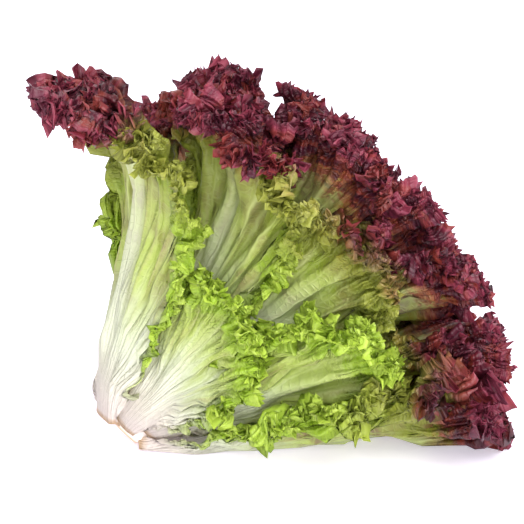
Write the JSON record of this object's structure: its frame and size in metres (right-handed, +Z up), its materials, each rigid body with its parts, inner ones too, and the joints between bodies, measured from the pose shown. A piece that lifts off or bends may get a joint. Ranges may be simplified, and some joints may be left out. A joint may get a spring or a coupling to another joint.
{
  "type": "red leaf lettuce",
  "caption": "Head of red leaf lettuce lying on its side, with nested ruffled leaves, frilled at the rim, round a short cut stem.",
  "frame": {"origin": "on the supporting surface, under the centre of the head's bounding box", "axes": "+Z up; the stem's axis leans from -X, where the cut is, up towards +X; -Y is the side that faces the camera in the picture"},
  "size_m": [0.2194, 0.2346, 0.1784],
  "materials": {
    "stem": "pinkish white, moist, with a tan dried cut",
    "heart_leaf": "soft leaf, green below and red at the frilled rim, slightly glossy",
    "red_leaf": "soft leaf, white at the rib, green blade, dark purple-red frilled rim, slightly glossy",
    "green_leaf": "soft leaf, white at the rib, yellow-green frilled rim, slightly glossy"
  },
  "bodies": {
    "root": {"heart_leaf_01": "heart_leaf", "heart_leaf_02": "heart_leaf", "heart_leaf_03": "heart_leaf", "heart_leaf_04": "heart_leaf", "heart_leaf_05": "heart_leaf", "heart_leaf_06": "heart_leaf", "inner_leaf_07": "red_leaf", "inner_leaf_08": "red_leaf", "inner_leaf_09": "red_leaf", "inner_leaf_10": "red_leaf", "inner_leaf_11": "red_leaf", "inner_leaf_12": "red_leaf", "inner_leaf_13": "green_leaf", "inner_leaf_14": "red_leaf", "outer_leaf_15": "red_leaf", "outer_leaf_16": "red_leaf", "outer_leaf_17": "red_leaf", "outer_leaf_18": "green_leaf", "outer_leaf_19": "green_leaf", "outer_leaf_20": "red_leaf", "outer_leaf_21": "green_leaf", "outer_leaf_22": "red_leaf", "outer_leaf_23": "red_leaf", "outer_leaf_24": "red_leaf", "stem": "stem"}
  },
  "joints": []
}
